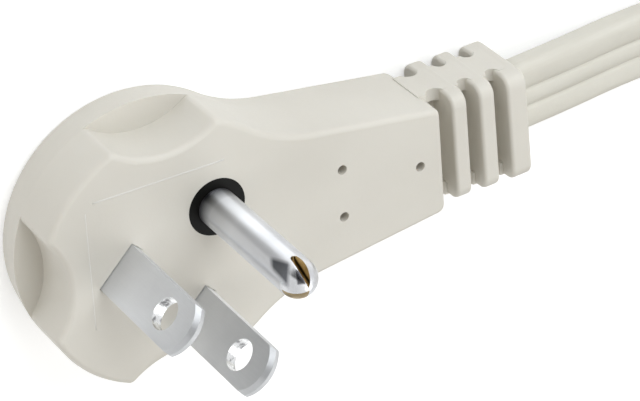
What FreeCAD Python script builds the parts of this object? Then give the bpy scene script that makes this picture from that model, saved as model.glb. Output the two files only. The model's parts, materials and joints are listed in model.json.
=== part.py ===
import FreeCAD, Part
import math
import os

# Flat low profile plug with a side cord, lying on its outer face with its pins up.
# Millimetres. The origin is on the resting face, on the axis of the round head.
# +X runs along the cord, +Z comes out of the face that goes against the wall socket.

Vec = FreeCAD.Vector
UP = Vec(0, 0, 1)
ALONG = Vec(1, 0, 0)

# Pins, on the standard pattern of a grounded 15 A plug
blade_spacing = 12.7
blade_width = 6.35
blade_thick = 1.52
blade_reach = 17.2
blade_tip_round = 4.2
blade_tip_bevel = 0.5
blade_hole_d = 3.96
blade_hole_height = 11.7
ground_offset = 11.9
ground_pin_d = 4.76
ground_reach = 20.8
ground_wall = 1.0
ground_dome = 2.6
ground_dome_flat = 0.5
ground_dome_turn = 50.0
ground_tip_solid = 4.9
ground_slit_length = 3.35
ground_slit_depth = 1.0
ground_slit_turn = 23.0
ground_slit_crown = 0.2
ground_root_d = 4.2
ground_root_rise = 0.4
cord_angle = 45.0
pattern_shift = 2.1
pattern_lift = 0.2

# Moulded body
head_radius = 17.1
head_taper = 0.8
head_shift = 0.4
body_thick = 12.5
neck_end = 37.3
neck_root_half = 12.5
neck_end_half = 7.2
neck_end_lean = 0.22
neck_flare = 18.0
face_round = 0.7
back_round = 1.6
corner_round = 1.1
grip_radius = 10.6
grip_depth = 3.7
grip_corner = 0.9
lip_height = 5.3
grip_angles = (90.0, 180.0, 270.0)
core_hole_d = 1.25
core_hole_depth = 3.0
core_hole_near = 23.2
core_hole_far = 34.0
core_hole_half = 3.25
core_hole_lift = 0.3
blade_clearance = 0.15
blade_clearance_depth = 0.6

# Strain relief: plates joined by two side rails and a core round the cord
rib_count = 3
rib_thick = 2.15
last_rib_thick = 2.8
first_rib_gap = 2.45
rib_gap = 1.88
rib_drop = 1.2
rib_width = 14.9
rib_corner = 1.7
rib_edge = 0.45
rib_lean = 2.4
rib_lean_step = 0.5
rail_low = 4.0
rail_high = 7.9
rail_depth = 1.7
core_wall = 0.9

# Flat three conductor cord
cord_width = 9.6
cord_thick = 3.7
cord_groove = 1.25
cord_groove_depth = 0.45
cord_edge = 1.3
cord_height = 4.2
cord_root_start = 33.0
lobe_offset = 3.2
strand_d = 1.5
lead_d = 2.8

# Pin carrier moulded round the three pins, with a collar that reaches the face
carrier_thick = 3.5
carrier_depth = 4.0
carrier_half_length = 7.9
carrier_half_width = 4.0
carrier_corner = 2.4
collar_d = 7.4

# Crimp barrels on the pins' tails
barrel_d = 3.3
barrel_length = 6.2
barrel_height = 3.3
barrel_start = 0.6
tail_width = 3.0

# Coil that puts the unseen length of the cord away
coil_centre = Vec(141.35, -44.55, 0)
coil_outer_turn = 59.0
coil_turns = 5
coil_pitch = 4.0
coil_entry_turn = 14.0
coil_lead_in = 30.0
coil_tail_radius = 35.4
coil_tail_sweep = 150.0
tie_thick = 0.8
tie_width = 9.0
tie_angle = 200.0
tie_slack = 0.3
end_strip = 8.0

# Places worked out from the sizes above
face_height = body_thick
coil_inner_turn = coil_outer_turn - coil_turns * coil_pitch
coil_base = tie_thick
coil_mid_height = coil_base + cord_width / 2
coil_heading = Vec(math.cos(math.radians(coil_entry_turn)), math.sin(math.radians(coil_entry_turn)), 0)
coil_entry = coil_centre + Vec(-coil_heading.y, coil_heading.x, 0) * coil_outer_turn
coil_lead_in_point = coil_entry - coil_heading * coil_lead_in + UP * coil_mid_height
rib_pitch = rib_thick + rib_gap
ribs_start = neck_end + first_rib_gap
relief_end = ribs_start + (rib_count - 1) * rib_pitch + last_rib_thick
carrier_top = face_height - carrier_depth
carrier_base = carrier_top - carrier_thick
pattern_turn = -cord_angle


def pattern_point(across, towards_ground, height=0.0):
    """A point given across the blades and towards the ground pin, in the plug's frame."""
    turn = math.radians(pattern_turn)
    off_centre = towards_ground - ground_offset / 2
    x = pattern_shift + across * math.cos(turn) - off_centre * math.sin(turn)
    y = pattern_lift + across * math.sin(turn) + off_centre * math.cos(turn)
    return Vec(x, y, height)


LINE_AT = pattern_point(blade_spacing / 2, 0)
NEUTRAL_AT = pattern_point(-blade_spacing / 2, 0)
GROUND_AT = pattern_point(0, ground_offset)

# Routes of the three leads, from their barrels to the lobes of the cord
lead_start = barrel_start + barrel_length
lead_straight = 2.6
LINE_ROUTE = [
    Vec(LINE_AT.x + barrel_start, LINE_AT.y, barrel_height),
    Vec(LINE_AT.x + lead_start, LINE_AT.y, barrel_height),
    Vec(LINE_AT.x + lead_start + lead_straight, LINE_AT.y, barrel_height),
    Vec(15.5, -7.0, barrel_height),
    Vec(20.5, -4.9, 3.5),
    Vec(27.0, -lobe_offset, cord_height),
    Vec(cord_root_start, -lobe_offset, cord_height),
]
NEUTRAL_ROUTE = [
    Vec(NEUTRAL_AT.x + barrel_start, NEUTRAL_AT.y, barrel_height),
    Vec(NEUTRAL_AT.x + lead_start, NEUTRAL_AT.y, barrel_height),
    Vec(12.0, NEUTRAL_AT.y, barrel_height),
    Vec(21.5, 1.6, 3.3),
    Vec(26.6, lobe_offset, cord_height),
    Vec(cord_root_start, lobe_offset, cord_height),
]
GROUND_ROUTE = [
    Vec(GROUND_AT.x + barrel_start, GROUND_AT.y, barrel_height),
    Vec(GROUND_AT.x + lead_start, GROUND_AT.y, barrel_height),
    Vec(GROUND_AT.x + lead_start + lead_straight, GROUND_AT.y, barrel_height),
    Vec(19.4, 3.5, 5.9),
    Vec(23.8, 1.2, 7.1),
    Vec(28.6, 0.0, cord_height),
    Vec(cord_root_start, 0.0, cord_height),
]

# Route of the cord from the strain relief to the coil
CORD_ROUTE = [
    Vec(relief_end, 0.0, cord_height),
    Vec(60.0, 0.05, 3.4),
    Vec(70.0, 0.3, 2.15),
    Vec(79.0, 0.9, 2.6),
    Vec(88.2, 2.9, 4.6),
    coil_lead_in_point,
]


def route_wire(points, radii=None):
    """Straight runs joined by tangent arcs, each arc as large as its two runs allow."""
    edges = []
    begin = points[0]
    for before, here, after in zip(points, points[1:], points[2:]):
        back = before - here
        ahead = after - here
        turn = math.pi - back.getAngle(ahead)
        if turn < 1e-4:
            continue
        reach = 0.45 * min(back.Length, ahead.Length)
        radius = reach / math.tan(turn / 2)
        start = here + back.normalize() * reach
        end = here + ahead.normalize() * reach
        middle_way = (back + ahead).normalize()
        middle = here + middle_way * (math.hypot(radius, reach) - radius)
        edges.append(Part.LineSegment(begin, start).toShape())
        edges.append(Part.Arc(start, middle, end).toShape())
        if radii is not None:
            radii.append(radius)
        begin = end
    edges.append(Part.LineSegment(begin, points[-1]).toShape())
    return Part.Wire(edges)


def round_pipe(points, diameter):
    """A round rod along a route."""
    way = points[1] - points[0]
    section = Part.Face(Part.Wire([Part.makeCircle(diameter / 2, points[0], way)]))
    return route_wire(points).makePipe(section)


def rounded_plate(x_low, x_high, y_low, y_high, z_low, z_high, corner):
    """A plate with its four upright edges rounded."""
    plate = Part.makeBox(x_high - x_low, y_high - y_low, z_high - z_low, Vec(x_low, y_low, z_low))
    upright = [e for e in plate.Edges if abs(e.tangentAt(e.FirstParameter).z) > 0.99]
    return plate.makeFillet(corner, upright)


def seat(shape):
    """Moves a shape from the pins' own frame, with z = 0 on the mating face, to the plug."""
    shape.rotate(Vec(0, 0, 0), UP, pattern_turn)
    shape.translate(pattern_point(0, 0, face_height))
    return shape


def barrel(at, diameter=barrel_d):
    """A crimp barrel whose mouth points along the cord, with its strands' bore left solid."""
    rear = Vec(at.x + barrel_start, at.y, barrel_height)
    return Part.makeCylinder(diameter / 2, barrel_length, rear, ALONG)


def barrel_bore(at):
    """The room for the strands in a crimp barrel."""
    return barrel(at, strand_d)


def blade_strip():
    """One flat blade standing on the mating face, with a rounded and bevelled end and its hole."""
    half = blade_width / 2
    bulge = blade_tip_round - math.sqrt(blade_tip_round ** 2 - half ** 2)
    shoulder = blade_reach - bulge
    bottom = barrel_height - face_height
    neck = carrier_base - face_height
    tail = tail_width / 2
    corners = [
        Vec(0, -half, shoulder),
        Vec(0, -half, neck),
        Vec(0, -tail, neck),
        Vec(0, -tail, bottom),
        Vec(0, tail, bottom),
        Vec(0, tail, neck),
        Vec(0, half, neck),
        Vec(0, half, shoulder),
    ]
    edges = [Part.LineSegment(a, b).toShape() for a, b in zip(corners, corners[1:])]
    edges.append(Part.Arc(corners[-1], Vec(0, 0, blade_reach), corners[0]).toShape())
    strip = Part.Face(Part.Wire(edges)).extrude(Vec(blade_thick, 0, 0))
    strip.translate(Vec(-blade_thick / 2, 0, 0))
    arcs = [e for e in strip.Edges if isinstance(e.Curve, Part.Circle)]
    strip = strip.makeChamfer(blade_tip_bevel, arcs)
    hole_start = Vec(-blade_thick / 2, 0, blade_hole_height)
    return strip.cut(Part.makeCylinder(blade_hole_d / 2, blade_thick, hole_start, ALONG))


def blade(at, across):
    """A blade with its tail and crimp barrel, stamped and rolled from one strip."""
    strip = blade_strip()
    strip.translate(Vec(across, 0, 0))
    return seat(strip).fuse(barrel(at)).cut(barrel_bore(at)).removeSplitter()


def domed_bar(radius, top, bottom, dome):
    """A round bar from the bottom up to a domed top."""
    turn = math.radians(ground_dome_turn)
    shoulder = Vec(radius, 0, top - dome)
    crown = Vec(ground_dome_flat, 0, top)
    round_off = Vec(radius * math.sin(turn), 0, top - dome + dome * math.cos(turn))
    edges = [
        Part.LineSegment(Vec(0, 0, bottom), Vec(radius, 0, bottom)).toShape(),
        Part.LineSegment(Vec(radius, 0, bottom), shoulder).toShape(),
        Part.Arc(shoulder, round_off, crown).toShape(),
        Part.LineSegment(crown, Vec(0, 0, top)).toShape(),
        Part.LineSegment(Vec(0, 0, top), Vec(0, 0, bottom)).toShape(),
    ]
    return Part.Face(Part.Wire(edges)).revolve(Vec(0, 0, 0), UP, 360)


def pin_slit():
    """The seam where it opens through the dome, as a notch that starts round and widens outwards."""
    foot = Vec(0, ground_pin_d / 2 - ground_slit_depth, ground_reach - ground_slit_length)
    crown = Vec(0, 0, ground_reach - ground_slit_crown)
    along = (crown - foot).normalize()
    outwards = along.cross(ALONG)
    half = ground_pin_d * math.tan(math.radians(ground_slit_turn))
    rim = foot + outwards * ground_pin_d
    notch = Part.Face(Part.makePolygon([foot, rim + ALONG * half, rim - ALONG * half, foot]))
    notch = notch.extrude(along * (2 * ground_slit_length))
    notch = notch.fuse(Part.makeCone(0, half, ground_pin_d, foot, outwards))
    notch.rotate(Vec(0, 0, 0), UP, cord_angle)
    return notch


def ground_tail():
    """The closed foot of the ground pin and the strip from it to its crimp barrel."""
    x = GROUND_AT.x - ground_wall / 2 + barrel_start
    corner = Vec(x, GROUND_AT.y - tail_width / 2, barrel_height)
    strip = Part.makeBox(ground_wall, tail_width, carrier_base - barrel_height, corner)
    foot_at = GROUND_AT + UP * (carrier_base - ground_wall)
    return strip.fuse(Part.makeCylinder(ground_root_d / 2, ground_wall, foot_at))


def ground_pin():
    """The ground pin, rolled from sheet, domed at its end where the seam opens as a slit."""
    radius = ground_pin_d / 2
    root = ground_root_d / 2
    bottom = carrier_base - face_height
    inner_dome = ground_dome - ground_wall / 2
    pin = domed_bar(radius, ground_reach, ground_root_rise, ground_dome)
    pin = pin.fuse(Part.makeCylinder(root, ground_root_rise - bottom, Vec(0, 0, bottom)))
    hollow = domed_bar(radius - ground_wall, ground_reach - ground_tip_solid, bottom, inner_dome)
    pin = pin.cut(hollow).cut(pin_slit())
    pin.translate(Vec(0, ground_offset, 0))
    pin = seat(pin)
    return pin.fuse([ground_tail(), barrel(GROUND_AT)]).cut(barrel_bore(GROUND_AT)).removeSplitter()


def pin_carrier():
    """The black inner moulding that holds the three pins, with the collar seen round the ground pin."""
    low = carrier_base - face_height
    high = carrier_top - face_height
    bar = rounded_plate(-carrier_half_length, carrier_half_length, -carrier_half_width, carrier_half_width,
                        low, high, carrier_corner)
    arm = Part.makeBox(collar_d, ground_offset, carrier_thick, Vec(-collar_d / 2, 0, low))
    collar = Part.makeCylinder(collar_d / 2, -low, Vec(0, ground_offset, low))
    carrier = bar.fuse([arm, collar])
    for across in (-blade_spacing / 2, blade_spacing / 2):
        slot = Part.makeBox(blade_thick, blade_width, carrier_thick,
                            Vec(across - blade_thick / 2, -blade_width / 2, low))
        carrier = carrier.cut(slot)
    carrier = carrier.cut(Part.makeCylinder(ground_root_d / 2, -low, Vec(0, ground_offset, low)))
    return seat(carrier.removeSplitter())


def strands(points):
    """The bare copper strands of one conductor, as one bundle."""
    return round_pipe(points, strand_d)


def lead(points, bundle):
    """The insulation of one conductor between its barrel and the cord."""
    return round_pipe(points[1:], lead_d).cut(bundle)


def flat_cord(x, length, height):
    """A straight stretch of the cord: a flat oval bar with two grooves on each wide face."""
    half_w = cord_width / 2
    half_t = cord_thick / 2
    bar = Part.makeBox(length, cord_width, cord_thick, Vec(x, -half_w, height - half_t))
    bar = bar.makeFillet(cord_edge, edges_along(bar))
    for side in (-1, 1):
        for face in (-1, 1):
            axis_at = Vec(x, side * cord_groove, height + face * half_t)
            bar = bar.cut(Part.makeCylinder(cord_groove_depth, length, axis_at, ALONG))
    return bar


def cord_root():
    """The stretch of cord moulded into the plug, up to the end of the strain relief."""
    return flat_cord(cord_root_start, relief_end - cord_root_start, cord_height)


def cord_run():
    """The cord from the strain relief to the coil, as a plain flat tube that follows its route."""
    radii = []
    wire = route_wire(CORD_ROUTE, radii)
    half_w = cord_width / 2
    half_t = cord_thick / 2
    stub = Part.makeBox(1.0, cord_width, cord_thick, Vec(relief_end, -half_w, cord_height - half_t))
    stub = stub.makeFillet(cord_edge, edges_along(stub))
    section = [f for f in stub.Faces if abs(f.CenterOfMass.x - relief_end) < 1e-6][0]
    tube = wire.makePipe(section)
    swept = section.Area * wire.Length
    print("cord arc radii", [round(r, 1) for r in radii])
    print("cord tube volume", round(tube.Volume, 1), "section times length", round(swept, 1))
    return tube


def tail_centre():
    """The centre about which the cord's inner end curves inside the coil."""
    return Vec(coil_centre.x, coil_centre.y + coil_inner_turn - coil_tail_radius, 0)


def coil_sector(centre, radius, sweep):
    """A flat cord on edge, curving clockwise from above its centre through a sweep."""
    outer = Part.makeCylinder(radius + cord_thick / 2, cord_width, centre + UP * coil_base, UP, sweep)
    inner = Part.makeCylinder(radius - cord_thick / 2, cord_width, centre + UP * coil_base)
    sector = outer.cut(inner)
    sector.rotate(centre, UP, 90 - sweep)
    return sector


def cord_coil():
    """The outer shape of the coil, its lead-in and its inner end."""
    outer = Part.makeCylinder(coil_outer_turn + cord_thick / 2, cord_width, coil_centre + UP * coil_base)
    inner = Part.makeCylinder(coil_inner_turn - cord_thick / 2, cord_width, coil_centre + UP * coil_base)
    lead_in = Part.makeBox(coil_lead_in, cord_thick, cord_width,
                           coil_lead_in_point + Vec(0, -cord_thick / 2, -cord_width / 2))
    lead_in.rotate(coil_lead_in_point, UP, coil_entry_turn)
    tail = coil_sector(tail_centre(), coil_tail_radius, coil_tail_sweep)
    return outer.cut(inner).fuse([lead_in, tail]).removeSplitter()


def coil_tie():
    """A strap round the coil's turns."""
    middle = (coil_outer_turn + coil_inner_turn) / 2
    bundle = coil_outer_turn - coil_inner_turn + cord_thick + 2 * tie_slack
    outside = bundle + 2 * tie_thick
    strap = Part.makeBox(tie_width, outside, cord_width + 2 * tie_thick + tie_slack,
                         Vec(-tie_width / 2, middle - outside / 2, 0))
    room_corner = Vec(-tie_width / 2, middle - bundle / 2, coil_base)
    room = Part.makeBox(tie_width, bundle, cord_width + tie_slack, room_corner)
    strap = strap.cut(room)
    strap.rotate(Vec(0, 0, 0), UP, tie_angle)
    strap.translate(coil_centre)
    return strap


def end_routes():
    """Routes of the three leads past the cord's far end, inside the coil."""
    angle = math.radians(90 - coil_tail_sweep)
    start = tail_centre() + Vec(math.cos(angle), math.sin(angle), 0) * coil_tail_radius
    way = Vec(math.sin(angle), -math.cos(angle), 0)
    inward = Vec(-math.cos(angle), -math.sin(angle), 0)
    rest = lead_d / 2
    routes = {}
    fans = {"neutral": (-1, 0.0, 6.0, 13.0), "ground": (0, 6.0, 13.0, 21.0), "line": (1, 12.5, 21.0, 30.0)}
    for name, (lobe, near, middle, far) in fans.items():
        first = start + UP * (coil_mid_height + lobe * lobe_offset)
        drop = UP * (first.z - rest)
        routes[name] = [
            first,
            first + way * 6,
            first + way * 13 + inward * near - drop,
            first + way * 21 + inward * middle - drop,
            first + way * 28 + inward * far - drop,
        ]
    return routes


def end_pieces(points):
    """One lead at the far end, and the strands bared at its tip."""
    length = (points[-1] - points[-2]).Length
    way = (points[-1] - points[-2]).normalize()
    bare_from = points[-1] - way * min(end_strip, 0.5 * length)
    insulation = round_pipe(points[:-1] + [bare_from], lead_d)
    tip = Part.makeCylinder(strand_d / 2, end_strip, bare_from, way)
    return insulation, tip


def plan_face(height, radius=head_radius):
    """The body's outline seen from above: round head, flared neck and a nearly square end."""
    slope = (neck_root_half - neck_end_half) / neck_end
    lean = math.hypot(1, slope)
    lift = neck_root_half + neck_flare * lean
    reach = radius + neck_flare
    a = 1 + slope ** 2
    b = -2 * (slope * lift + head_shift)
    c = lift ** 2 + head_shift ** 2 - reach ** 2
    flare_x = (-b + math.sqrt(b * b - 4 * a * c)) / (2 * a)
    flare_y = lift - slope * flare_x
    centre = Vec(head_shift, 0, 0)
    on_head = centre + (Vec(flare_x, flare_y, 0) - centre) * (radius / reach)
    on_neck = Vec(flare_x - neck_flare * slope / lean, flare_y - neck_flare / lean, 0)
    to_head = (on_head - Vec(flare_x, flare_y, 0)).normalize()
    to_neck = (on_neck - Vec(flare_x, flare_y, 0)).normalize()
    between = Vec(flare_x, flare_y, 0) + (to_head + to_neck).normalize() * neck_flare
    end = Vec(neck_end - neck_end_lean, neck_end_half, height)
    other_end = Vec(neck_end + neck_end_lean, -neck_end_half, height)

    def at(point, side=1):
        return Vec(point.x, side * point.y, height)

    return Part.Face(Part.Wire([
        Part.Arc(at(on_head), Vec(head_shift - radius, 0, height), at(on_head, -1)).toShape(),
        Part.Arc(at(on_head, -1), at(between, -1), at(on_neck, -1)).toShape(),
        Part.LineSegment(at(on_neck, -1), other_end).toShape(),
        Part.LineSegment(other_end, end).toShape(),
        Part.LineSegment(end, at(on_neck)).toShape(),
        Part.Arc(at(on_neck), at(between), at(on_head)).toShape(),
    ]))


def upright_edges(shape, near_x=None):
    """The edges parallel to Z, all of them or those near one x."""
    found = []
    for edge in shape.Edges:
        box = edge.BoundBox
        if max(box.XLength, box.YLength) > 1e-3 or box.ZLength < 1e-3:
            continue
        if near_x is None or abs(edge.CenterOfMass.x - near_x) < 2 * neck_end_lean:
            found.append(edge)
    return found


def level_edges(shape, height):
    """The edges that lie wholly at one height."""
    found = []
    for edge in shape.Edges:
        box = edge.BoundBox
        if abs(box.ZMin - height) < 1e-3 and abs(box.ZMax - height) < 1e-3:
            found.append(edge)
    return found


def edges_along(shape):
    """The straight edges that run along the cord."""
    return [e for e in shape.Edges if abs(e.tangentAt(e.FirstParameter).x) > 0.99]


def head_lower():
    """The lower storey, a lip under the finger grips whose round end tapers towards the back."""
    back = plan_face(0, head_radius - head_taper)
    storey = Part.makeLoft([back.OuterWire, plan_face(lip_height).OuterWire], True, True)
    storey = storey.makeFillet(corner_round, upright_edges(storey, neck_end))
    return storey.makeFillet(back_round, level_edges(storey, 0))


def head_upper():
    """The upper storey of the body, scooped by the finger grips."""
    storey = plan_face(lip_height).extrude(Vec(0, 0, face_height - lip_height))
    away = head_radius - grip_depth + grip_radius
    for angle in grip_angles:
        scoop = Part.makeCylinder(grip_radius, body_thick, Vec(away, 0, lip_height))
        scoop.rotate(Vec(0, 0, 0), UP, angle)
        scoop.translate(Vec(head_shift, 0, 0))
        storey = storey.cut(scoop)
    storey = storey.makeFillet(corner_round, upright_edges(storey, neck_end))
    corners = []
    for edge in upright_edges(storey):
        middle = edge.CenterOfMass
        if abs(math.hypot(middle.x - head_shift, middle.y) - head_radius) < 0.01 and on_grip(middle):
            corners.append(edge)
    storey = storey.makeFillet(grip_corner, corners)
    return storey.makeFillet(face_round, level_edges(storey, face_height))


def on_grip(point):
    """Whether a point lies on the wall of one of the finger grips."""
    away = head_radius - grip_depth + grip_radius
    for angle in grip_angles:
        turn = math.radians(angle)
        beside = point.x - head_shift - away * math.cos(turn)
        distance = math.hypot(beside, point.y - away * math.sin(turn))
        if abs(distance - grip_radius) < 0.01:
            return True
    return False


def rib(number):
    """One plate of the strain relief, with rounded corners and softened rims, leaning with the cord."""
    thick = last_rib_thick if number == rib_count - 1 else rib_thick
    start = ribs_start + number * rib_pitch
    plate = Part.makeBox(thick, rib_width, face_height - rib_drop, Vec(start, -rib_width / 2, 0))
    plate = plate.makeFillet(rib_corner, edges_along(plate))
    rims = [e for e in plate.Edges if e.BoundBox.XLength < 1e-3]
    plate = plate.makeFillet(rib_edge, rims)
    plate.rotate(Vec(start + thick / 2, 0, 0), UP, rib_lean + number * rib_lean_step)
    return plate


def rails():
    """The two side rails that join the plates, hollowed round above and below in every gap."""
    start = neck_end - corner_round
    length = relief_end - last_rib_thick / 2 - start
    half = rib_width / 2
    gaps = [(neck_end + ribs_start) / 2]
    gaps += [ribs_start + number * rib_pitch - rib_gap / 2 for number in range(1, rib_count)]
    pair = []
    for low in (-half, half - rail_depth):
        bottom = rail_low - rib_gap / 2
        height = rail_high + rib_gap / 2 - bottom
        rail = Part.makeBox(length, rail_depth, height, Vec(start, low, bottom))
        for x in gaps:
            radius = (x - neck_end) if x < ribs_start else rib_gap / 2
            for z in (rail_low - radius, rail_high + radius):
                rail = rail.cut(Part.makeCylinder(radius, rail_depth, Vec(x, low, z), Vec(0, 1, 0)))
        pair.append(rail)
    return pair


def strain_relief():
    """Plates, side rails and core that stiffen the cord where it leaves the body."""
    start = neck_end - corner_round
    length = relief_end - last_rib_thick / 2 - start
    core_half = cord_width / 2 + core_wall
    core_low = cord_height - cord_thick / 2 - core_wall
    core_high = cord_thick + 2 * core_wall
    core = Part.makeBox(length, 2 * core_half, core_high, Vec(start, -core_half, core_low))
    core = core.makeFillet(cord_edge, edges_along(core))
    return [rib(number) for number in range(rib_count)] + rails() + [core]


def core_holes():
    """Holes that the mould's support pins leave in the mating face."""
    places = ((core_hole_near, core_hole_half), (core_hole_near, -core_hole_half), (core_hole_far, 0.0))
    low = Vec(0, core_hole_lift, face_height - core_hole_depth)
    return [Part.makeCylinder(core_hole_d / 2, core_hole_depth, low + Vec(x, y, 0)) for x, y in places]


def blade_clearances():
    """The narrow gaps round the blades where they come out of the mating face."""
    wide = blade_thick + 2 * blade_clearance
    deep = blade_width + 2 * blade_clearance
    gaps = []
    for across in (-blade_spacing / 2, blade_spacing / 2):
        corner = Vec(across - wide / 2, -deep / 2, -blade_clearance_depth)
        gaps.append(seat(Part.makeBox(wide, deep, blade_clearance_depth, corner)))
    return gaps


def plug_body(inside):
    """The overmoulded body and its strain relief, one moulding round everything inside it."""
    body = head_lower().fuse([head_upper()] + strain_relief())
    body = body.cut(core_holes() + blade_clearances())
    return body.cut(inside).removeSplitter()


def build():
    """Every piece of the plug and its cord, by name."""
    parts = {}
    parts["line_blade"] = blade(LINE_AT, blade_spacing / 2)
    parts["neutral_blade"] = blade(NEUTRAL_AT, -blade_spacing / 2)
    parts["ground_pin"] = ground_pin()
    parts["pin_carrier"] = pin_carrier()
    conductors = (
        ("line", LINE_AT, LINE_ROUTE),
        ("neutral", NEUTRAL_AT, NEUTRAL_ROUTE),
        ("ground", GROUND_AT, GROUND_ROUTE),
    )
    for name, at, points in conductors:
        bundle = strands(points)
        parts[name + "_strands"] = bundle
        parts[name + "_lead"] = lead(points, bundle)
    parts["cord_root"] = cord_root()
    pin_length = face_height - carrier_base
    pin_room = Part.makeCylinder(ground_root_d / 2, pin_length, GROUND_AT + UP * carrier_base)
    inside = [piece.copy() for name, piece in parts.items() if name != "ground_pin"]
    inside += [barrel(at) for name, at, points in conductors] + [ground_tail(), pin_room]
    inside.append(flat_cord(relief_end, rib_corner, cord_height))
    parts["plug_body"] = plug_body(inside)
    parts["cord_run"] = cord_run()
    parts["cord_coil"] = cord_coil()
    parts["coil_tie"] = coil_tie()
    for name, points in end_routes().items():
        insulation, tip = end_pieces(points)
        parts["end_" + name + "_lead"] = insulation
        parts["end_" + name + "_strands"] = tip
    return parts


os.makedirs("parts", exist_ok=True)
for node, shape in build().items():
    print(node, shape.ShapeType, len(shape.Solids), shape.isValid(), round(shape.Volume, 2))
    shape.exportStep("parts/" + node + ".step")
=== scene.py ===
import bpy
import json
import math
from mathutils import Matrix, Vector


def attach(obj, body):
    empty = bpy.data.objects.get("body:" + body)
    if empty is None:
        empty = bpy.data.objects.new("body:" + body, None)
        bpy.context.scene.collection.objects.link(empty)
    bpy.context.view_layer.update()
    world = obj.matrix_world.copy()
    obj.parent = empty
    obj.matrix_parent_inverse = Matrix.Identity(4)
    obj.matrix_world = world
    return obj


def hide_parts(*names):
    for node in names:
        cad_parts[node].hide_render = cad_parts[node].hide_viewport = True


# Flat low profile plug with a side cord, seen from above its pins. Metres.

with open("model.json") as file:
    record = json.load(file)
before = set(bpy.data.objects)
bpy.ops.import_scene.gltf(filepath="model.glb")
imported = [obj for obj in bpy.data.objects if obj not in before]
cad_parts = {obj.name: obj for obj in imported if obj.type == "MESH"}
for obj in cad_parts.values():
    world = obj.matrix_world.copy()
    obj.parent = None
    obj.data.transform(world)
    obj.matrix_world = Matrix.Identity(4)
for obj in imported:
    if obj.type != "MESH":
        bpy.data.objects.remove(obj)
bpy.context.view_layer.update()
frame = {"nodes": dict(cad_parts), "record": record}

MM = 0.001
UP = Vector((0, 0, 1))

# Camera, as the photograph was taken
CAMERA_AT = Vector((-0.13421, 0.19256, 0.28756))
CAMERA_LOOK = Vector((0.41758, -0.52024, -0.74497))
CAMERA_UP = Vector((0.29871, 0.85290, -0.42818))
CAMERA_LENS = 175.9
SENSOR = 36.0

# Lamps, placed from the spot they face
LIT_SPOT = Vector((0.01, 0.0, 0.01))
KEY_FROM = Vector((0.42, 1.18, 0.90))
KEY_COLOUR = (0.925, 0.963, 1.0)
OVERHEAD_FROM = Vector((0.53, -0.36, 1.27))
SIDE_FROM = Vector((-0.90, -0.10, 0.26))

# Room: its light on the plug, how bright it is in a mirror, and the way towards its dark side,
# which bright metal mirrors as a streak
ROOM_TINT = (1.0, 0.985, 0.935)
ROOM_LIGHT = 0.42
ROOM_MIRRORED = 0.84
DARK_MIRRORED = 0.04
DARK_WAY = (-0.53, 0.848, 0.0)
DARK_FROM = 0.90
DARK_FULL = 0.97

# Floor
FLOOR_HALF = 1.5
FLOOR_GLOW = 0.45
FLOOR_TONE = (0.80, 0.80, 0.80, 1)

# Flat cord
CORD_WIDTH = 9.6 * MM
CORD_THICK = 3.7 * MM
CORD_EDGE = 1.3 * MM
GROOVE_AT = 1.25 * MM
GROOVE_HALF = 0.55 * MM
GROOVE_DEPTH = 0.45 * MM
GROOVE_SHARES = (1.0, 0.6, 0.25, 0.0, -0.25, -0.6, -1.0)
GROOVE_BEND = 1.4
CORD_ROUTE = [
    (0.05061, 0.0, 0.0042),
    (0.0600, 0.00005, 0.0034),
    (0.0700, 0.0003, 0.00215),
    (0.0790, 0.0009, 0.0026),
    (0.0882, 0.0029, 0.0046),
    (0.09797, 0.00544, 0.0056),
]
COIL_CENTRE = Vector((0.14135, -0.04455, 0.0056))
COIL_ENTRY = math.radians(14.0)
COIL_OUTER = 59.0 * MM
COIL_TURNS = 5
COIL_PITCH = 4.0 * MM
TAIL_RADIUS = 35.4 * MM
TAIL_SWEEP = math.radians(150.0)
TAIL_STEPS = 10
POINTS_PER_TURN = 28
LINE_RESOLUTION = 6

# Where the cord turns onto its edge
TWIST_FROM = 0.0740
TWIST_LOW = 0.0023

# Bare wires: how thick, how far they wind, and their rings as radius, number and first angle
WIRE_RADIUS = 0.135 * MM
WIRE_TWIST = 1.9
WIRE_RINGS = ((0.0, 1, 0.0), (0.28 * MM, 6, 0.0), (0.575 * MM, 13, 0.2))

# Mating face, and the fine lines on it as ends in mm and share of the full width
FACE_HEIGHT = 12.5 * MM
WITNESS_RUNS = (
    ((-9.4, 10.3), (7.6, 10.3), 1.0),
    ((-10.4, 9.3), (-10.4, -6.4), 0.6),
)
WITNESS_SECTION = ((-0.12, -0.03), (-0.10, 0.004), (0.0, 0.016), (0.10, 0.004), (0.12, -0.03))

# Blades: their tones low down and near their ends as painted shade, their holes and the moulded skin
# round them
BLADES_AT = ((2.382 * MM, -8.497 * MM), (-6.598 * MM, 0.483 * MM))
BLADE_THICK = 1.52 * MM
BLADE_WIDTH = 6.35 * MM
BLADE_TURN = math.radians(-45)
BLADE_ACROSS = Vector((math.cos(BLADE_TURN), math.sin(BLADE_TURN), 0))
BLADE_ALONG = Vector((-math.sin(BLADE_TURN), math.cos(BLADE_TURN), 0))
BLADE_EASE = 0.13 * MM
BLADE_LOW_LIT_TONES = ((0.80, 0.81, 0.82), (0.85, 0.86, 0.87))
BLADE_HIGH_SHADED_TONES = ((0.60, 0.61, 0.62), (0.64, 0.65, 0.66))
BLADE_SHADE_FROM = 0.017
BLADE_SHADE_FULL = 0.029
HOLE_HEIGHT = 24.2 * MM
HOLE_RADIUS = 1.98 * MM
FLASH_OUT = 0.15 * MM
FLASH_IN = 0.06 * MM
FLASH_TOP = 12.42 * MM
FLASH_LOW = 12.0 * MM

# Strap round the coil
TIE_ANGLE = math.radians(200.0)
TIE_WIDTH = 9.0 * MM
TIE_THICK = 0.8 * MM
TIE_CORNER = 1.3 * MM
TIE_EDGE = 0.35

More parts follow.
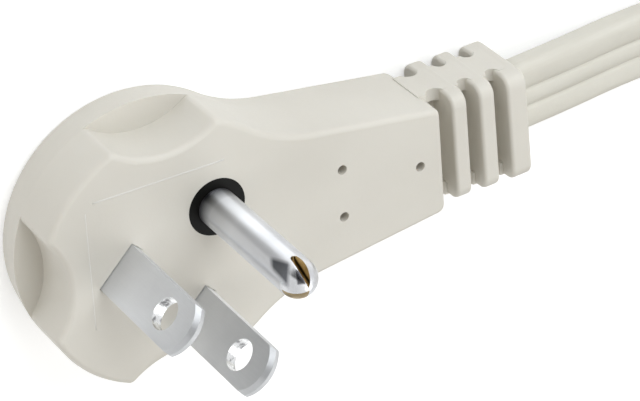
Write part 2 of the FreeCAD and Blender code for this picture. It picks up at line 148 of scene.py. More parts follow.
# Ground pin
PIN_FOOT = 0.4 * MM
PIN_RADIUS = 2.38 * MM
PIN_WALL = 0.33 * MM
PIN_TIP = (0.006307, 0.004407, 0.0333)
DOME_FROM = 0.0307
DOME_ARC_CENTRE = -0.316 * MM
DOME_ARC_RADIUS = 2.696 * MM
SEAM_FROM = 0.0290
SEAM_BESIDE = 0.22 * MM

# Tones of the pin by height: dark by the collar as a painted reflection of it, duller just above as
# painted shade
COLLAR_REFLECTION_TONE = (0.07, 0.07, 0.075)
COLLAR_REFLECTION_FROM = FACE_HEIGHT + 0.2 * MM
COLLAR_REFLECTION_TO = FACE_HEIGHT + 2.4 * MM
ROOT_SHADE_TONE = (0.52, 0.525, 0.53)
ROOT_SHADE_FROM = FACE_HEIGHT + 2.0 * MM
ROOT_SHADE_TO = FACE_HEIGHT + 7.0 * MM
# Painted light and shade: lighter low down and dimmer towards the pin's end
PIN_LOW_LIT_TONES = ((0.74, 0.75, 0.76), (0.79, 0.80, 0.81))
PIN_HIGH_SHADED_TONES = ((0.66, 0.67, 0.69), (0.72, 0.73, 0.75))
PIN_SHADE_FROM = 0.018
PIN_SHADE_FULL = 0.026

# Polish of the pin: how rough its barrel and its dome are, and where one turns into the other
BARREL_ROUGH = 0.45
DOME_ROUGH = 0.26
POLISH_FROM = DOME_FROM - 1.5 * MM
POLISH_FULL = DOME_FROM + 0.8 * MM

# Bare brass where the sheet folds over at the tip: each plane's side, start and softness
FOLD_LIMITS = (
    ((0.284, -0.925, -0.268), 0.33 * MM, 0.05 * MM),
    ((-1.0, 0.0, 0.0), -0.10 * MM, 0.05 * MM),
    ((0.0, 0.0, 1.0), -2.10 * MM, 0.05 * MM),
)

# Painted reflections on the dome of the room's dark side: corners as heights in mm and angles round the
# pin
ROOM_REFLECTION_PAINT = ((27.4, 132.0), (28.5, 160.0), (32.2, 195.0), (30.8, 103.0))
ROOM_REFLECTION_PAINT_EDGE = 0.5 * MM
ROOM_REFLECTION_PAINT_TONE = (0.115, 0.12, 0.13)
NOTCH_REFLECTION_PAINT = ((31.75, 112.0), (32.85, 160.0), (33.27, 109.0), (32.3, 96.5))
NOTCH_REFLECTION_PAINT_EDGE = 0.2 * MM
NOTCH_REFLECTION_PAINT_TONE = (0.13, 0.13, 0.14)

# Brass of the sheet, at the fold and on the walls of the seam's notch
FOLD_BRASS = (0.31, 0.24, 0.135)
SEAM_BRASS = (0.66, 0.53, 0.32)
SEAM_BRASS_DULL = (0.42, 0.33, 0.18)
SEAM_GAP = (0.02, 0.014, 0.006)

# How far light goes into the vinyl, as a share and as reach by colour
VINYL_GLOW = 0.08
VINYL_REACH = (1.2 * MM, 1.0 * MM, 0.8 * MM)


def aimed(place, look, up):
    """A matrix at a place that looks along one way with another way up."""
    back = -look.normalized()
    side = up.cross(back).normalized()
    over = back.cross(side)
    turn = Matrix((side, over, back)).transposed().to_4x4()
    return Matrix.Translation(place) @ turn


def make_camera():
    """The camera of the main picture."""
    data = bpy.data.cameras.new("camera")
    data.lens = CAMERA_LENS
    data.sensor_width = SENSOR
    data.clip_start = 0.01
    data.clip_end = 10
    camera = bpy.data.objects.new("camera", data)
    bpy.context.scene.collection.objects.link(camera)
    camera.matrix_world = aimed(CAMERA_AT, CAMERA_LOOK, CAMERA_UP)
    bpy.context.scene.camera = camera


def link(piece, material):
    """Puts a finished mesh object into the scene as a piece of the plug."""
    bpy.context.scene.collection.objects.link(piece)
    piece.data.materials.append(material)
    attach(piece, "root")
    return piece


def mesh_object(name, points, faces, smooth=True):
    """A mesh object made of points and faces."""
    mesh = bpy.data.meshes.new(name)
    mesh.from_pydata(points, [], faces)
    mesh.validate()
    mesh.polygons.foreach_set("use_smooth", [smooth] * len(mesh.polygons))
    mesh.update()
    return bpy.data.objects.new(name, mesh)


def coil_points():
    """The turns of the coil and the curved inner end, going clockwise from above."""
    points = []
    sweep = COIL_ENTRY + COIL_TURNS * math.tau
    steps = round(sweep / math.tau * POINTS_PER_TURN)
    for step in range(steps + 1):
        turn = sweep * step / steps - COIL_ENTRY
        radius = COIL_OUTER - COIL_PITCH * max(turn, 0) / math.tau
        points.append(COIL_CENTRE + Vector((math.sin(turn), math.cos(turn), 0)) * radius)
    inner = COIL_OUTER - COIL_TURNS * COIL_PITCH
    tail_centre = COIL_CENTRE + Vector((0, inner - TAIL_RADIUS, 0))
    for step in range(1, TAIL_STEPS + 1):
        turn = TAIL_SWEEP * step / TAIL_STEPS
        points.append(tail_centre + Vector((math.sin(turn), math.cos(turn), 0)) * TAIL_RADIUS)
    return points


def cord_centreline():
    """The points of the cord's smooth line, read from its spline."""
    route = [Vector(p) for p in CORD_ROUTE] + coil_points()
    curve = bpy.data.curves.new("cord_line", "CURVE")
    curve.dimensions = "3D"
    curve.resolution_u = LINE_RESOLUTION
    spline = curve.splines.new("NURBS")
    spline.points.add(len(route) - 1)
    for point, place in zip(spline.points, route):
        point.co = (*place, 1.0)
    spline.order_u = 3
    spline.use_endpoint_u = True
    holder = bpy.data.objects.new("cord_line", curve)
    line = bpy.data.meshes.new_from_object(holder)
    points = [v.co.copy() for v in line.vertices]
    bpy.data.objects.remove(holder)
    bpy.data.meshes.remove(line)
    return points


def cord_section():
    """The cord's outline, across its width and its thickness, with two grooves on each face."""
    corner_steps = 6
    corner = []
    for step in range(corner_steps + 1):
        turn = math.radians(90 * step / corner_steps)
        across = CORD_WIDTH / 2 - CORD_EDGE + CORD_EDGE * math.cos(turn)
        height = CORD_THICK / 2 - CORD_EDGE + CORD_EDGE * math.sin(turn)
        corner.append((across, height))
    upper = list(corner)
    for centre in (GROOVE_AT, -GROOVE_AT):
        for share in GROOVE_SHARES:
            dip = GROOVE_DEPTH * (1 - abs(share)) ** GROOVE_BEND
            upper.append((centre + share * GROOVE_HALF, CORD_THICK / 2 - dip))
    upper.extend((-across, height) for across, height in reversed(corner))
    lower = [(-across, -height) for across, height in upper]
    return upper + lower


def share_between(value, low, high):
    """How far a value has come from a low one to a high one, from 0 to 1."""
    return min(1.0, max(0.0, (value - low) / (high - low)))


def cord_turn(place):
    """How far the cord has turned onto its edge at a place, without going through the floor."""
    if place.x < TWIST_FROM:
        return 0.0
    half_width = CORD_WIDTH / 2 - CORD_EDGE
    half_thick = CORD_THICK / 2 - CORD_EDGE
    reach = math.hypot(half_width, half_thick)
    lean = math.atan2(half_thick, half_width)
    leaning = share_between(place.z, CORD_EDGE, CORD_EDGE + reach)
    on_edge = share_between(place.z, CORD_EDGE + reach, COIL_CENTRE.z)
    lying = math.asin(leaning) - lean + lean * on_edge
    rise = share_between(place.z, TWIST_LOW, COIL_CENTRE.z)
    eased = (rise * rise * (3 - 2 * rise)) ** 1.5
    return max(0.0, min(lying, eased * math.pi / 2))


def make_cord(material):
    """The flat cord, flat where it leaves the plug and on its edge in the coil."""
    line = cord_centreline()
    section = cord_section()
    ways = []
    for index, place in enumerate(line):
        way = (line[min(index + 1, len(line) - 1)] - line[max(index - 1, 0)]).normalized()
        flat_side = UP.cross(way).normalized()
        flat_up = way.cross(flat_side)
        turn = cord_turn(place)
        side = flat_side * math.cos(turn) + flat_up * math.sin(turn)
        ways.append((side, way.cross(side)))
    cord = mesh_object("cord", *ring_strip(line, section, ways))
    lengths = [0.0]
    for here, there in zip(line, line[1:]):
        lengths.append(lengths[-1] + (there - here).length)
    lay_lengthwise(cord, lengths, len(section))
    link(cord, material)
    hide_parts("cord_run", "cord_coil")
    return cord, line, lengths[-1]


def lay_lengthwise(cord, lengths, count):
    """Gives the cord's mesh its length and the share round its section as texture places."""
    layer = cord.data.uv_layers.new(name="along")
    for face in cord.data.polygons:
        wrap = face.loop_total == 4
        for corner in face.loop_indices:
            vertex = cord.data.loops[corner].vertex_index
            around = (vertex % count) / count
            if wrap and vertex % count == 0 and face.vertices[1] % count > 1:
                around = 1.0
            layer.data[corner].uv = (lengths[vertex // count], around)


def ring_strip(points, section, ways):
    """A closed-ended mesh tube: its points and faces, from a section carried along points."""
    count = len(section)
    rings = []
    for place, (side, over) in zip(points, ways):
        rings.extend(place + side * across + over * height for across, height in section)
    faces = []
    for ring in range(len(points) - 1):
        for step in range(count):
            after = (step + 1) % count
            base = ring * count
            faces.append((base + step, base + count + step, base + count + after, base + after))
    last = (len(points) - 1) * count
    faces.append(tuple(range(count)))
    faces.append(tuple(last + step for step in range(count - 1, -1, -1)))
    return rings, faces


def joined(name, shells, smooth=True):
    """One mesh object from several shells of points and faces."""
    points = []
    faces = []
    for shell_points, shell_faces in shells:
        base = len(points)
        points.extend(shell_points)
        faces.extend(tuple(base + corner for corner in face) for face in shell_faces)
    return mesh_object(name, points, faces, smooth)


def circle(radius, count):
    """A round section."""
    turns = [math.tau * step / count for step in range(count)]
    return [(radius * math.cos(turn), radius * math.sin(turn)) for turn in turns]


def make_pin_foot(material):
    """The last stretch of the ground pin's barrel, down to the collar."""
    centre = Vector((PIN_TIP[0], PIN_TIP[1], FACE_HEIGHT))
    steps = 96
    inner = PIN_RADIUS - PIN_WALL
    levels = ((PIN_RADIUS, 0.0), (PIN_RADIUS, PIN_FOOT), (inner, PIN_FOOT), (inner, 0.0))
    points = []
    faces = []
    for step in range(steps):
        turn = math.tau * step / steps
        for radius, height in levels:
            points.append(centre + Vector((math.cos(turn) * radius, math.sin(turn) * radius, height)))
    for step in range(steps):
        here = 4 * step
        there = 4 * ((step + 1) % steps)
        for corner in range(4):
            after = (corner + 1) % 4
            faces.append((here + corner, there + corner, there + after, here + after))
    foot = mesh_object("pin_foot", points, faces)
    foot.data.polygons.foreach_set("use_smooth", [face.index % 4 == 0 for face in foot.data.polygons])
    return link(foot, material)


def make_witness_lines(material):
    """Fine raised lines that the mould's inserts leave on the mating face."""
    section = [(across * MM, height * MM) for across, height in WITNESS_SECTION]
    steps = 12
    shells = []
    for begin, finish, share in WITNESS_RUNS:
        start = Vector((*begin, 0)) * MM + UP * FACE_HEIGHT
        end = Vector((*finish, 0)) * MM + UP * FACE_HEIGHT
        side = UP.cross((end - start).normalized())
        points = [start.lerp(end, step / steps) for step in range(steps + 1)]
        shells.append(ring_strip(points, section, [(side * share, UP)] * len(points)))
    return link(joined("witness_lines", shells), material)


def make_blade_flash(material):
    """Thin moulded skin in the gaps round the blades, just under the mating face."""
    levels = (
        (FLASH_OUT, FLASH_TOP),
        (FLASH_OUT, FLASH_LOW),
        (FLASH_IN, FLASH_LOW),
        (FLASH_IN, FLASH_TOP),
    )
    shells = []
    for centre in BLADES_AT:
        middle = Vector((*centre, 0))
        points = []
        for grow, height in levels:
            half_thick = BLADE_THICK / 2 + grow
            half_width = BLADE_WIDTH / 2 + grow
            for across_sign, along_sign in ((-1, -1), (1, -1), (1, 1), (-1, 1)):
                spot = middle + BLADE_ACROSS * across_sign * half_thick
                spot += BLADE_ALONG * along_sign * half_width
                points.append(Vector((spot.x, spot.y, height)))
        faces = []
        for level in range(4):
            under = (level + 1) % 4
            for step in range(4):
                after = (step + 1) % 4
                faces.append((4 * level + step, 4 * under + step, 4 * under + after, 4 * level + after))
        shells.append((points, faces))
    return link(joined("blade_flash", shells, smooth=False), material)


def ends_of(thing):
    """The centres of the two ends of a straight rod, read from its mesh."""
    spots = [v.co for v in thing.data.vertices]
    first = max(spots, key=lambda spot: (spot - spots[0]).length)
    other = max(spots, key=lambda spot: (spot - first).length)
    near = [spot for spot in spots if (spot - first).length < (spot - other).length]
    far = [spot for spot in spots if (spot - first).length >= (spot - other).length]
    return sum(near, Vector()) / len(near), sum(far, Vector()) / len(far)


def make_strands(name, replaced, material):
    """Twisted bare wires in place of one conductor's plain end."""
    start, end = ends_of(frame["nodes"][replaced])
    way = (end - start).normalized()
    side = way.cross(UP).normalized()
    over = side.cross(way)
    steps = 16
    shells = []
    for radius, wires, first_angle in WIRE_RINGS:
        for number in range(wires):
            begin = math.tau * number / wires + first_angle
            points = []
            for step in range(steps + 1):
                turn = begin + WIRE_TWIST * step / steps
                offset = side * math.cos(turn) * radius + over * math.sin(turn) * radius
                points.append(start.lerp(end, step / steps) + offset)
            shells.append(ring_strip(points, circle(WIRE_RADIUS, 8), [(side, over)] * len(points)))
    bundle = link(joined(name, shells), material)
    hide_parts(replaced)
    return bundle


def tie_path(near, far, top):
    """The strap's line round the coil's turns, as reach outwards, height and the way it faces."""
    middle = TIE_CORNER - TIE_THICK / 2
    corners = (
        (near + TIE_CORNER, TIE_CORNER, math.pi),
        (far - TIE_CORNER, TIE_CORNER, 1.5 * math.pi),
        (far - TIE_CORNER, top - TIE_CORNER, 0.0),
        (near + TIE_CORNER, top - TIE_CORNER, 0.5 * math.pi),
    )
    steps = 8
    path = []
    for centre_x, centre_z, begin in corners:
        for step in range(steps + 1):
            angle = begin + 0.5 * math.pi * step / steps
            x = centre_x + math.cos(angle) * middle
            z = centre_z + math.sin(angle) * middle
            path.append((x, z, angle))
    return path


def make_tie(material):
    """A plain strap wrapped round the coil's turns, a little thinner at its edges."""
    spots = [v.co for v in frame["nodes"]["coil_tie"].data.vertices]
    outwards = Vector((-math.sin(TIE_ANGLE), math.cos(TIE_ANGLE), 0))
    beside = Vector((math.cos(TIE_ANGLE), math.sin(TIE_ANGLE), 0))
    reach = [(spot - COIL_CENTRE).dot(outwards) for spot in spots]
    path = tie_path(min(reach), max(reach), max(spot.z for spot in spots))
    half = TIE_THICK / 2
    points = []
    faces = []
    across_steps = 12
    for x, z, angle in path:
        for layer in (half, -half):
            for step in range(across_steps + 1):
                share = 2 * step / across_steps - 1
                depth = layer * (1 - TIE_EDGE * abs(share) ** 6)
                out_x = x + math.cos(angle) * depth
                out_z = z + math.sin(angle) * depth
                spot = COIL_CENTRE + outwards * out_x + beside * share * TIE_WIDTH / 2
                points.append(Vector((spot.x, spot.y, max(out_z, 0.0))))
    row = 2 * (across_steps + 1)
    count = len(path)
    for ring in range(count):
        here = ring * row
        there = ((ring + 1) % count) * row
        for step in range(across_steps):
            faces.append((here + step, here + step + 1, there + step + 1, there + step))
            low = across_steps + 1 + step
            faces.append((here + low, there + low, there + low + 1, here + low + 1))
        faces.append((here, there, there + across_steps + 1, here + across_steps + 1))
        faces.append((here + across_steps, here + row - 1, there + row - 1, there + across_steps))
    strap = link(mesh_object("tie_strap", points, faces), material)
    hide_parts("coil_tie")
    return strap


def node(tree, kind, **settings):
    """A shader node with its settings."""
    made = tree.nodes.new(kind)
    for name, value in settings.items():
        setattr(made, name, value)
    return made


def new_material(name):
    """A material, its node tree and its main shader."""
    material = bpy.data.materials.new(name)
    material.use_nodes = True
    return material, material.node_tree, material.node_tree.nodes["Principled BSDF"]


def place_of(tree, stretch=(1, 1, 1), uv=False):
    """Where on the object a texture is read, in metres, stretched along the axes."""
    source = node(tree, "ShaderNodeTexCoord")
    mapping = node(tree, "ShaderNodeMapping")
    mapping.inputs["Scale"].default_value = stretch
    tree.links.new(source.outputs["UV" if uv else "Object"], mapping.inputs["Vector"])
    return mapping.outputs["Vector"]


def noise(tree, where, scale, detail=2.0, rough=0.5):
    """A noise texture's value."""
    made = node(tree, "ShaderNodeTexNoise")
    made.inputs["Scale"].default_value = scale
    made.inputs["Detail"].default_value = detail
    made.inputs["Roughness"].default_value = rough
    tree.links.new(where, made.inputs["Vector"])
    return made.outputs["Fac"]


def ranged(tree, value, low, high, from_low=0.3, from_high=0.7):
    """A value brought into a range."""
    made = node(tree, "ShaderNodeMapRange")
    made.inputs["From Min"].default_value = from_low
    made.inputs["From Max"].default_value = from_high
    made.inputs["To Min"].default_value = low
    made.inputs["To Max"].default_value = high
    tree.links.new(value, made.inputs["Value"])
    return made.outputs["Result"]


def mixed(tree, value, first, second):
    """A colour between two, each a colour or an output."""
    made = node(tree, "ShaderNodeMix", data_type="RGBA")
    for socket, colour in ((made.inputs["A"], first), (made.inputs["B"], second)):
        if isinstance(colour, tuple):
            socket.default_value = (*colour, 1)
        else:
            tree.links.new(colour, socket)
    tree.links.new(value, made.inputs["Factor"])
    return made.outputs["Result"]


def drawn_along(tree, shader, share):
    """Spreads the shine along the upright axis, as on metal polished round it."""
    axis = node(tree, "ShaderNodeCombineXYZ")
    axis.inputs["Z"].default_value = 1.0
    tree.links.new(axis.outputs[0], shader.inputs["Tangent"])
    shader.inputs["Anisotropic"].default_value = share


def worked(tree, operation, first, second):
    """Two values put together by a math step, the second an output or a number."""
    made = node(tree, "ShaderNodeMath", operation=operation)
    tree.links.new(first, made.inputs[0])
    if isinstance(second, float):
        made.inputs[1].default_value = second
    else:
        tree.links.new(second, made.inputs[1])
    return made.outputs[0]


def height_of(tree, where):
    """The height of a place."""
    made = node(tree, "ShaderNodeSeparateXYZ")
    tree.links.new(where, made.inputs[0])
    return made.outputs["Z"]


def reach_along(tree, place, way):
    """How far a place lies along a way."""
    made = node(tree, "ShaderNodeVectorMath", operation="DOT_PRODUCT")
    tree.links.new(place, made.inputs[0])
    made.inputs[1].default_value = way
    return made.outputs["Value"]


def within(tree, away, limits):
    """The share of a place that lies past every plane of a list, each with its soft edge."""
    share = None
    for side, begin, soft in limits:
        past = ranged(tree, reach_along(tree, away, side), 0, 1, begin, begin + soft)
        share = past if share is None else worked(tree, "MULTIPLY", share, past)
    return share


def bumped(tree, shader, heights):
    """Surface relief from a list of height outputs and their depths."""
    before = None
    for height, depth in heights:
        bump = node(tree, "ShaderNodeBump")
        bump.inputs["Strength"].default_value = 1.0
        bump.inputs["Distance"].default_value = depth
        tree.links.new(height, bump.inputs["Height"])
        if before is not None:
            tree.links.new(before, bump.inputs["Normal"])
        before = bump.outputs["Normal"]
    tree.links.new(before, shader.inputs["Normal"])


def let_light_in(shader):
    """Lets light a little way into a surface, as vinyl does."""
    shader.inputs["Subsurface Weight"].default_value = VINYL_GLOW
    shader.inputs["Subsurface Radius"].default_value = VINYL_REACH
    shader.inputs["Subsurface Scale"].default_value = 1.0
    shader.inputs["IOR"].default_value = 1.5


def body_vinyl(name, dark, light):
    """Warm light grey moulded vinyl with a fine satin grain."""
    material, tree, shader = new_material(name)
    where = place_of(tree)
    cloud = noise(tree, where, scale=70, detail=3)
    fine = noise(tree, where, scale=2600, detail=4, rough=0.6)
    swell = noise(tree, where, scale=260, detail=2)
    tree.links.new(mixed(tree, ranged(tree, cloud, 0, 1), dark, light), shader.inputs["Base Color"])
    tree.links.new(ranged(tree, fine, 0.42, 0.56), shader.inputs["Roughness"])
    let_light_in(shader)
    bumped(tree, shader, [(swell, 0.05 * MM), (fine, 0.012 * MM)])
    return material


def cord_vinyl(dark, light):
    """Light beige extruded vinyl with faint drawn streaks along the cord."""
    material, tree, shader = new_material("cord_vinyl")
    where = place_of(tree)
    streak = noise(tree, place_of(tree, (30, 6, 1), uv=True), scale=4, detail=4, rough=0.6)
    fine = noise(tree, where, scale=2400, detail=3, rough=0.6)
    swell = noise(tree, where, scale=220, detail=2)
    tree.links.new(mixed(tree, ranged(tree, streak, 0, 1), dark, light), shader.inputs["Base Color"])
    tree.links.new(ranged(tree, streak, 0.40, 0.55), shader.inputs["Roughness"])
    let_light_in(shader)
    bumped(tree, shader, [(streak, 0.06 * MM), (swell, 0.08 * MM), (fine, 0.012 * MM)])
    return material


def blade_nickel():
    """Satin nickel plating with fine rolled grain along the blades and painted shade darker towards
    their ends.
    """
    material, tree, shader = new_material("blade_nickel")
    where = place_of(tree)
    grain = noise(tree, place_of(tree, (1, 1, 0.08)), scale=5200, detail=3, rough=0.6)
    cloud = noise(tree, where, scale=240, detail=3)
    mottle = ranged(tree, cloud, 0, 1)
    low = mixed(tree, mottle, *BLADE_LOW_LIT_TONES)
    high = mixed(tree, mottle, *BLADE_HIGH_SHADED_TONES)
    # Painted shade: the blades are lighter low down and darker towards their ends.
    shade = ranged(tree, height_of(tree, where), 0, 1, BLADE_SHADE_FROM, BLADE_SHADE_FULL)
    tree.links.new(mixed(tree, shade, low, high), shader.inputs["Base Color"])
    shader.inputs["Metallic"].default_value = 1.0
    tree.links.new(ranged(tree, grain, 0.52, 0.62), shader.inputs["Roughness"])
    drawn_along(tree, shader, 0.8)
    bumped(tree, shader, [(grain, 0.004 * MM), (cloud, 0.01 * MM)])
    return material


def hole_nickel():
    """Nickel in the blades' holes, brighter and streaked across by the punch, the streaks painted as
    highlights and reflections.
    """
    material, tree, shader = new_material("hole_nickel")
    streak = noise(tree, place_of(tree), scale=1100, detail=3, rough=0.6)
    # Painted highlights and dark painted reflections in streaks on the punched wall.
    shine = ranged(tree, streak, 0, 1, 0.34, 0.50)
    colour = mixed(tree, shine, (0.30, 0.305, 0.31), (0.88, 0.89, 0.90))
    tree.links.new(colour, shader.inputs["Base Color"])
    shader.inputs["Metallic"].default_value = 1.0
    tree.links.new(ranged(tree, streak, 0.16, 0.30), shader.inputs["Roughness"])
    bumped(tree, shader, [(streak, 0.06 * MM)])
    return material


def outside_of_pin(height):
    """The radius of the ground pin's outer surface at a height."""
    if height <= DOME_FROM:
        return PIN_RADIUS
    rise = min(height - DOME_FROM, DOME_ARC_RADIUS)
    return DOME_ARC_CENTRE + math.sqrt(DOME_ARC_RADIUS ** 2 - rise ** 2)


def painted_reflection_limits(corners, edge):
    """Planes through the camera that bound a painted reflection on the near side of the pin, by its
    corners.
    """
    tip = Vector(PIN_TIP)
    spots = []
    for height, angle in corners:
        turn = math.radians(angle)
        spot = Vector((math.cos(turn), math.sin(turn), 0)) * outside_of_pin(height * MM)
        spots.append(Vector((tip.x + spot.x, tip.y + spot.y, height * MM)))
    middle = sum(spots, Vector()) / len(spots)
    near_side = CAMERA_AT - tip
    near_side.z = 0
    limits = [(near_side.normalized(), 0.0, 0.1 * MM)]
    for here, there in zip(spots, spots[1:] + spots[:1]):
        side = (here - CAMERA_AT).cross(there - CAMERA_AT).normalized()
        if side.dot(middle - here) < 0:
            side.negate()
        limits.append((side, side.dot(here - tip), edge))
    return limits


def plating_by_height(tree, rise, cloud):
    """Plating with painted light: dark by the collar as its reflection, duller above it as shade,
    dimmer towards its end.
    """
    mottle = ranged(tree, cloud, 0, 1)
    low = mixed(tree, mottle, *PIN_LOW_LIT_TONES)
    high = mixed(tree, mottle, *PIN_HIGH_SHADED_TONES)
    # Painted light and shade: lighter low down, dimmer towards the pin's end.
    plating = mixed(tree, ranged(tree, rise, 0, 1, PIN_SHADE_FROM, PIN_SHADE_FULL), low, high)
    # Painted shade that dulls the plating just above the collar.
    plating = mixed(tree, ranged(tree, rise, 0, 1, ROOT_SHADE_FROM, ROOT_SHADE_TO), ROOT_SHADE_TONE, plating)
    # Painted reflection of the black collar at the pin's foot.
    return mixed(tree, ranged(tree, rise, 0, 1, COLLAR_REFLECTION_FROM, COLLAR_REFLECTION_TO), COLLAR_REFLECTION_TONE, plating)


def pin_nickel():
    """Bright nickel plating, painted shade and reflections, bare brass where the sheet's edge folds
    over at the tip.
    """
    material, tree, shader = new_material("pin_nickel")
    where = place_of(tree)
    cloud = noise(tree, where, scale=300, detail=3)
    rise = height_of(tree, where)
    away = node(tree, "ShaderNodeVectorMath", operation="SUBTRACT")
    tree.links.new(where, away.inputs[0])
    away.inputs[1].default_value = PIN_TIP
    colour = plating_by_height(tree, rise, cloud)
    # Painted reflections of the room's dark side on the dome, then bare brass at the fold.
    for limits, tone in (
        (painted_reflection_limits(ROOM_REFLECTION_PAINT, ROOM_REFLECTION_PAINT_EDGE), ROOM_REFLECTION_PAINT_TONE),
        (painted_reflection_limits(NOTCH_REFLECTION_PAINT, NOTCH_REFLECTION_PAINT_EDGE), NOTCH_REFLECTION_PAINT_TONE),
        (FOLD_LIMITS, FOLD_BRASS),
    ):
        colour = mixed(tree, within(tree, away.outputs["Vector"], limits), colour, tone)
    tree.links.new(colour, shader.inputs["Base Color"])
    shader.inputs["Metallic"].default_value = 1.0
    polish = ranged(tree, rise, BARREL_ROUGH, DOME_ROUGH, POLISH_FROM, POLISH_FULL)
    mottle = ranged(tree, cloud, -0.03, 0.03)
    tree.links.new(worked(tree, "ADD", polish, mottle), shader.inputs["Roughness"])
    drawn_along(tree, shader, 1.0)
    bumped(tree, shader, [(cloud, 0.004 * MM)])
    return material


def bare_brass():
    """The brass of the sheet on the walls of the pin's notch, with a dark line where the seam meets."""
    material, tree, shader = new_material("bare_brass")
    where = place_of(tree)
    cloud = noise(tree, where, scale=1500, detail=3)
    place = node(tree, "ShaderNodeSeparateXYZ")
    tree.links.new(where, place.inputs[0])
    offset = worked(tree, "SUBTRACT", place.outputs["X"], PIN_TIP[0] + SEAM_BESIDE)
    beside = node(tree, "ShaderNodeMath", operation="ABSOLUTE")
    tree.links.new(offset, beside.inputs[0])
    wall = ranged(tree, beside.outputs[0], 0, 1, 0.04 * MM, 0.12 * MM)
    metal = mixed(tree, ranged(tree, cloud, 0, 1), SEAM_BRASS_DULL, SEAM_BRASS)
    tree.links.new(mixed(tree, wall, SEAM_GAP, metal), shader.inputs["Base Color"])
    shader.inputs["Metallic"].default_value = 1.0
    tree.links.new(ranged(tree, cloud, 0.28, 0.42), shader.inputs["Roughness"])
    bumped(tree, shader, [(cloud, 0.01 * MM)])
    return material


def plain_plastic(name, dark, light, rough, shine=0.5):
    """Satin plastic in one colour with a fine grain."""
    material, tree, shader = new_material(name)
    where = place_of(tree)
    fine = noise(tree, where, scale=2200, detail=3, rough=0.6)
    cloud = noise(tree, where, scale=150, detail=2)
    tree.links.new(mixed(tree, ranged(tree, cloud, 0, 1), dark, light), shader.inputs["Base Color"])
    tree.links.new(ranged(tree, fine, rough - 0.06, rough + 0.06), shader.inputs["Roughness"])
    shader.inputs["Specular IOR Level"].default_value = shine
    bumped(tree, shader, [(fine, 0.01 * MM)])
    return material


def copper():
    """Bare copper strands."""
    material, tree, shader = new_material("copper")
    cloud = noise(tree, place_of(tree), scale=900, detail=3)
    colour = mixed(tree, ranged(tree, cloud, 0, 1), (0.46, 0.19, 0.09), (0.60, 0.28, 0.14))
    tree.links.new(colour, shader.inputs["Base Color"])
    shader.inputs["Metallic"].default_value = 1.0
    tree.links.new(ranged(tree, cloud, 0.25, 0.38), shader.inputs["Roughness"])
    bumped(tree, shader, [(cloud, 0.01 * MM)])
    return material


def dress(materials):
    """Gives every CAD node the material of its slot in the record."""
    slots = {part["node"]: part["material_slot"] for part in frame["record"]["subparts"]}
    for name, thing in frame["nodes"].items():
        thing.data.materials.clear()
        thing.data.materials.append(materials[slots[name]])


def ease_edges(thing, width):
    """Rounds the sharp stamped edges of a CAD node a little."""
    bevel = thing.modifiers.new("eased", "BEVEL")
    bevel.width = width
    bevel.segments = 2
    bevel.limit_method = "ANGLE"
    bevel.angle_limit = math.radians(40)


def bare_the_seam(pin, material):
    """Gives the walls of the notch along the pin's seam their own material."""
    pin.data.materials.append(material)
    for face in pin.data.polygons:
        place = face.center
        off_axis = math.hypot(place.x - PIN_TIP[0], place.y - PIN_TIP[1])
        beneath = outside_of_pin(place.z) - off_axis
        in_notch = place.z > SEAM_FROM and beneath > 0.05 * MM and place.y > PIN_TIP[1] - 0.1 * MM
        if in_notch and place.z < PIN_TIP[2] - 0.01 * MM:
            face.material_index = 1


def line_the_hole(blade, centre, material):
    """Gives the punched wall of a blade's hole its own material."""
    blade.data.materials.append(material)
    middle = Vector((*centre, HOLE_HEIGHT))
    for face in blade.data.polygons:
        offset = face.center - middle
        off_axis = (offset - BLADE_ACROSS * offset.dot(BLADE_ACROSS)).length
        if off_axis < HOLE_RADIUS + 0.1 * MM and abs(face.normal.dot(BLADE_ACROSS)) < 0.9:
            face.material_index = 1


def make_floor():
    """A plain pale floor that shows white and keeps a faint shadow."""
    signs = ((-1, -1), (1, -1), (1, 1), (-1, 1))
    corners = [(x * FLOOR_HALF, y * FLOOR_HALF, 0) for x, y in signs]
    floor = mesh_object("floor", corners, [(0, 1, 2, 3)], smooth=False)
    bpy.context.scene.collection.objects.link(floor)
    material, tree, shader = new_material("floor")
    shader.inputs["Base Color"].default_value = FLOOR_TONE
    shader.inputs["Roughness"].default_value = 1.0
    shader.inputs["Specular IOR Level"].default_value = 0.0
    glow = node(tree, "ShaderNodeEmission")
    path = node(tree, "ShaderNodeLightPath")
    seen = worked(tree, "MAXIMUM", path.outputs["Is Camera Ray"], path.outputs["Is Glossy Ray"])
    seen = worked(tree, "MAXIMUM", seen, path.outputs["Is Transmission Ray"])
    tree.links.new(worked(tree, "MULTIPLY", seen, FLOOR_GLOW), glow.inputs["Strength"])
    both = node(tree, "ShaderNodeAddShader")
    tree.links.new(shader.outputs[0], both.inputs[0])
    tree.links.new(glow.outputs[0], both.inputs[1])
    tree.links.new(both.outputs[0], tree.nodes["Material Output"].inputs["Surface"])
    floor.data.materials.append(material)


def area_light(name, away, size, power):
    """A soft square lamp that faces the plug."""
    data = bpy.data.lights.new(name, "AREA")
    data.shape = "SQUARE"
    data.size = size
    data.energy = power
    lamp = bpy.data.objects.new(name, data)
    bpy.context.scene.collection.objects.link(lamp)
    lamp.matrix_world = aimed(LIT_SPOT + away, -away, Vector((0.1, 0.2, 1.0)))
    return lamp


def make_lamps():
    """A large cool lamp beyond the plug, one overhead, and a small one that mirrors don't show."""
    key = area_light("key", KEY_FROM, size=1.4, power=16.6)
    key.data.color = KEY_COLOUR
    area_light("overhead", OVERHEAD_FROM, size=1.0, power=5.4)
    side = area_light("side", SIDE_FROM, size=0.5, power=2.0)
    side.visible_glossy = False


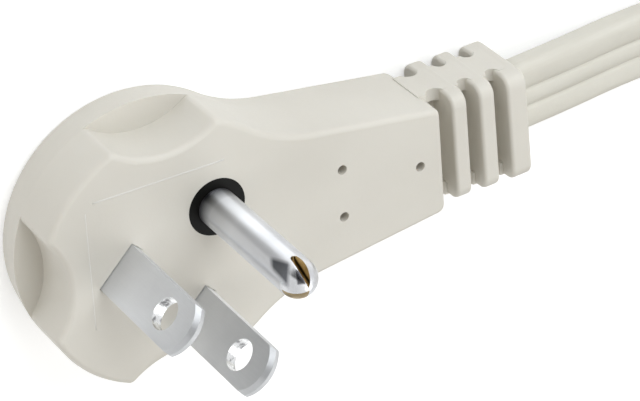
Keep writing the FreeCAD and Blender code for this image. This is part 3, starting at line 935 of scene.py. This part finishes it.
def mirrored_room(tree):
    """How bright the room is in a mirror, by the way it is looked at."""
    way = node(tree, "ShaderNodeTexCoord")
    level = node(tree, "ShaderNodeVectorMath", operation="MULTIPLY")
    tree.links.new(way.outputs["Generated"], level.inputs[0])
    level.inputs[1].default_value = (1, 1, 0)
    unit = node(tree, "ShaderNodeVectorMath", operation="NORMALIZE")
    tree.links.new(level.outputs["Vector"], unit.inputs[0])
    nearness = reach_along(tree, unit.outputs["Vector"], DARK_WAY)
    return ranged(tree, nearness, ROOM_MIRRORED, DARK_MIRRORED, DARK_FROM, DARK_FULL)


def make_room():
    """The room: a soft warm light on the plug, its own look in mirrors, and white to the camera."""
    world = bpy.data.worlds.new("room")
    bpy.context.scene.world = world
    world.use_nodes = True
    tree = world.node_tree
    path = node(tree, "ShaderNodeLightPath")
    strength = node(tree, "ShaderNodeMix", data_type="FLOAT")
    strength.inputs["A"].default_value = ROOM_LIGHT
    tree.links.new(mirrored_room(tree), strength.inputs["B"])
    tree.links.new(path.outputs["Is Glossy Ray"], strength.inputs["Factor"])
    tint = mixed(tree, path.outputs["Is Glossy Ray"], ROOM_TINT, (1.0, 1.0, 1.0))
    ground = tree.nodes["Background"]
    tree.links.new(tint, ground.inputs["Color"])
    tree.links.new(strength.outputs["Result"], ground.inputs["Strength"])
    white = node(tree, "ShaderNodeBackground")
    white.inputs["Strength"].default_value = 1.0
    pick = node(tree, "ShaderNodeMixShader")
    tree.links.new(path.outputs["Is Camera Ray"], pick.inputs[0])
    tree.links.new(ground.outputs[0], pick.inputs[1])
    tree.links.new(white.outputs[0], pick.inputs[2])
    tree.links.new(pick.outputs[0], tree.nodes["World Output"].inputs["Surface"])


make_camera()
MATERIALS = {
    "body_vinyl": body_vinyl("body_vinyl", dark=(0.655, 0.628, 0.568), light=(0.690, 0.664, 0.603)),
    "cord_vinyl": cord_vinyl(dark=(0.642, 0.619, 0.549), light=(0.690, 0.670, 0.602)),
    "blade_nickel": blade_nickel(),
    "pin_nickel": pin_nickel(),
    "carrier_black": plain_plastic(
        "carrier_black",
        dark=(0.004, 0.004, 0.0035),
        light=(0.007, 0.007, 0.006),
        rough=0.45,
        shine=0.12,
    ),
    "lead_green": plain_plastic(
        "lead_green",
        dark=(0.02, 0.16, 0.05),
        light=(0.03, 0.2, 0.07),
        rough=0.4,
    ),
    "copper": copper(),
    "tie_black": plain_plastic(
        "tie_black",
        dark=(0.015, 0.015, 0.016),
        light=(0.03, 0.03, 0.032),
        rough=0.7,
    ),
}
dress(MATERIALS)
bare_the_seam(frame["nodes"]["ground_pin"], bare_brass())
hole_metal = hole_nickel()
for blade, centre in zip(("line_blade", "neutral_blade"), BLADES_AT):
    line_the_hole(frame["nodes"][blade], centre, hole_metal)
    ease_edges(frame["nodes"][blade], BLADE_EASE)
make_pin_foot(MATERIALS["pin_nickel"])
# The raised witness lines get a lighter copy of the body vinyl as a painted highlight.
make_witness_lines(body_vinyl("witness_highlight_vinyl", dark=(0.76, 0.74, 0.70), light=(0.80, 0.78, 0.74)))
make_blade_flash(MATERIALS["body_vinyl"])
cord, cord_line, cord_length = make_cord(MATERIALS["cord_vinyl"])
for conductor in ("line", "neutral", "ground"):
    make_strands(conductor + "_wires", "end_" + conductor + "_strands", MATERIALS["copper"])
make_tie(MATERIALS["tie_black"])
make_floor()
make_lamps()
make_room()
bpy.context.scene.view_settings.view_transform = "Standard"
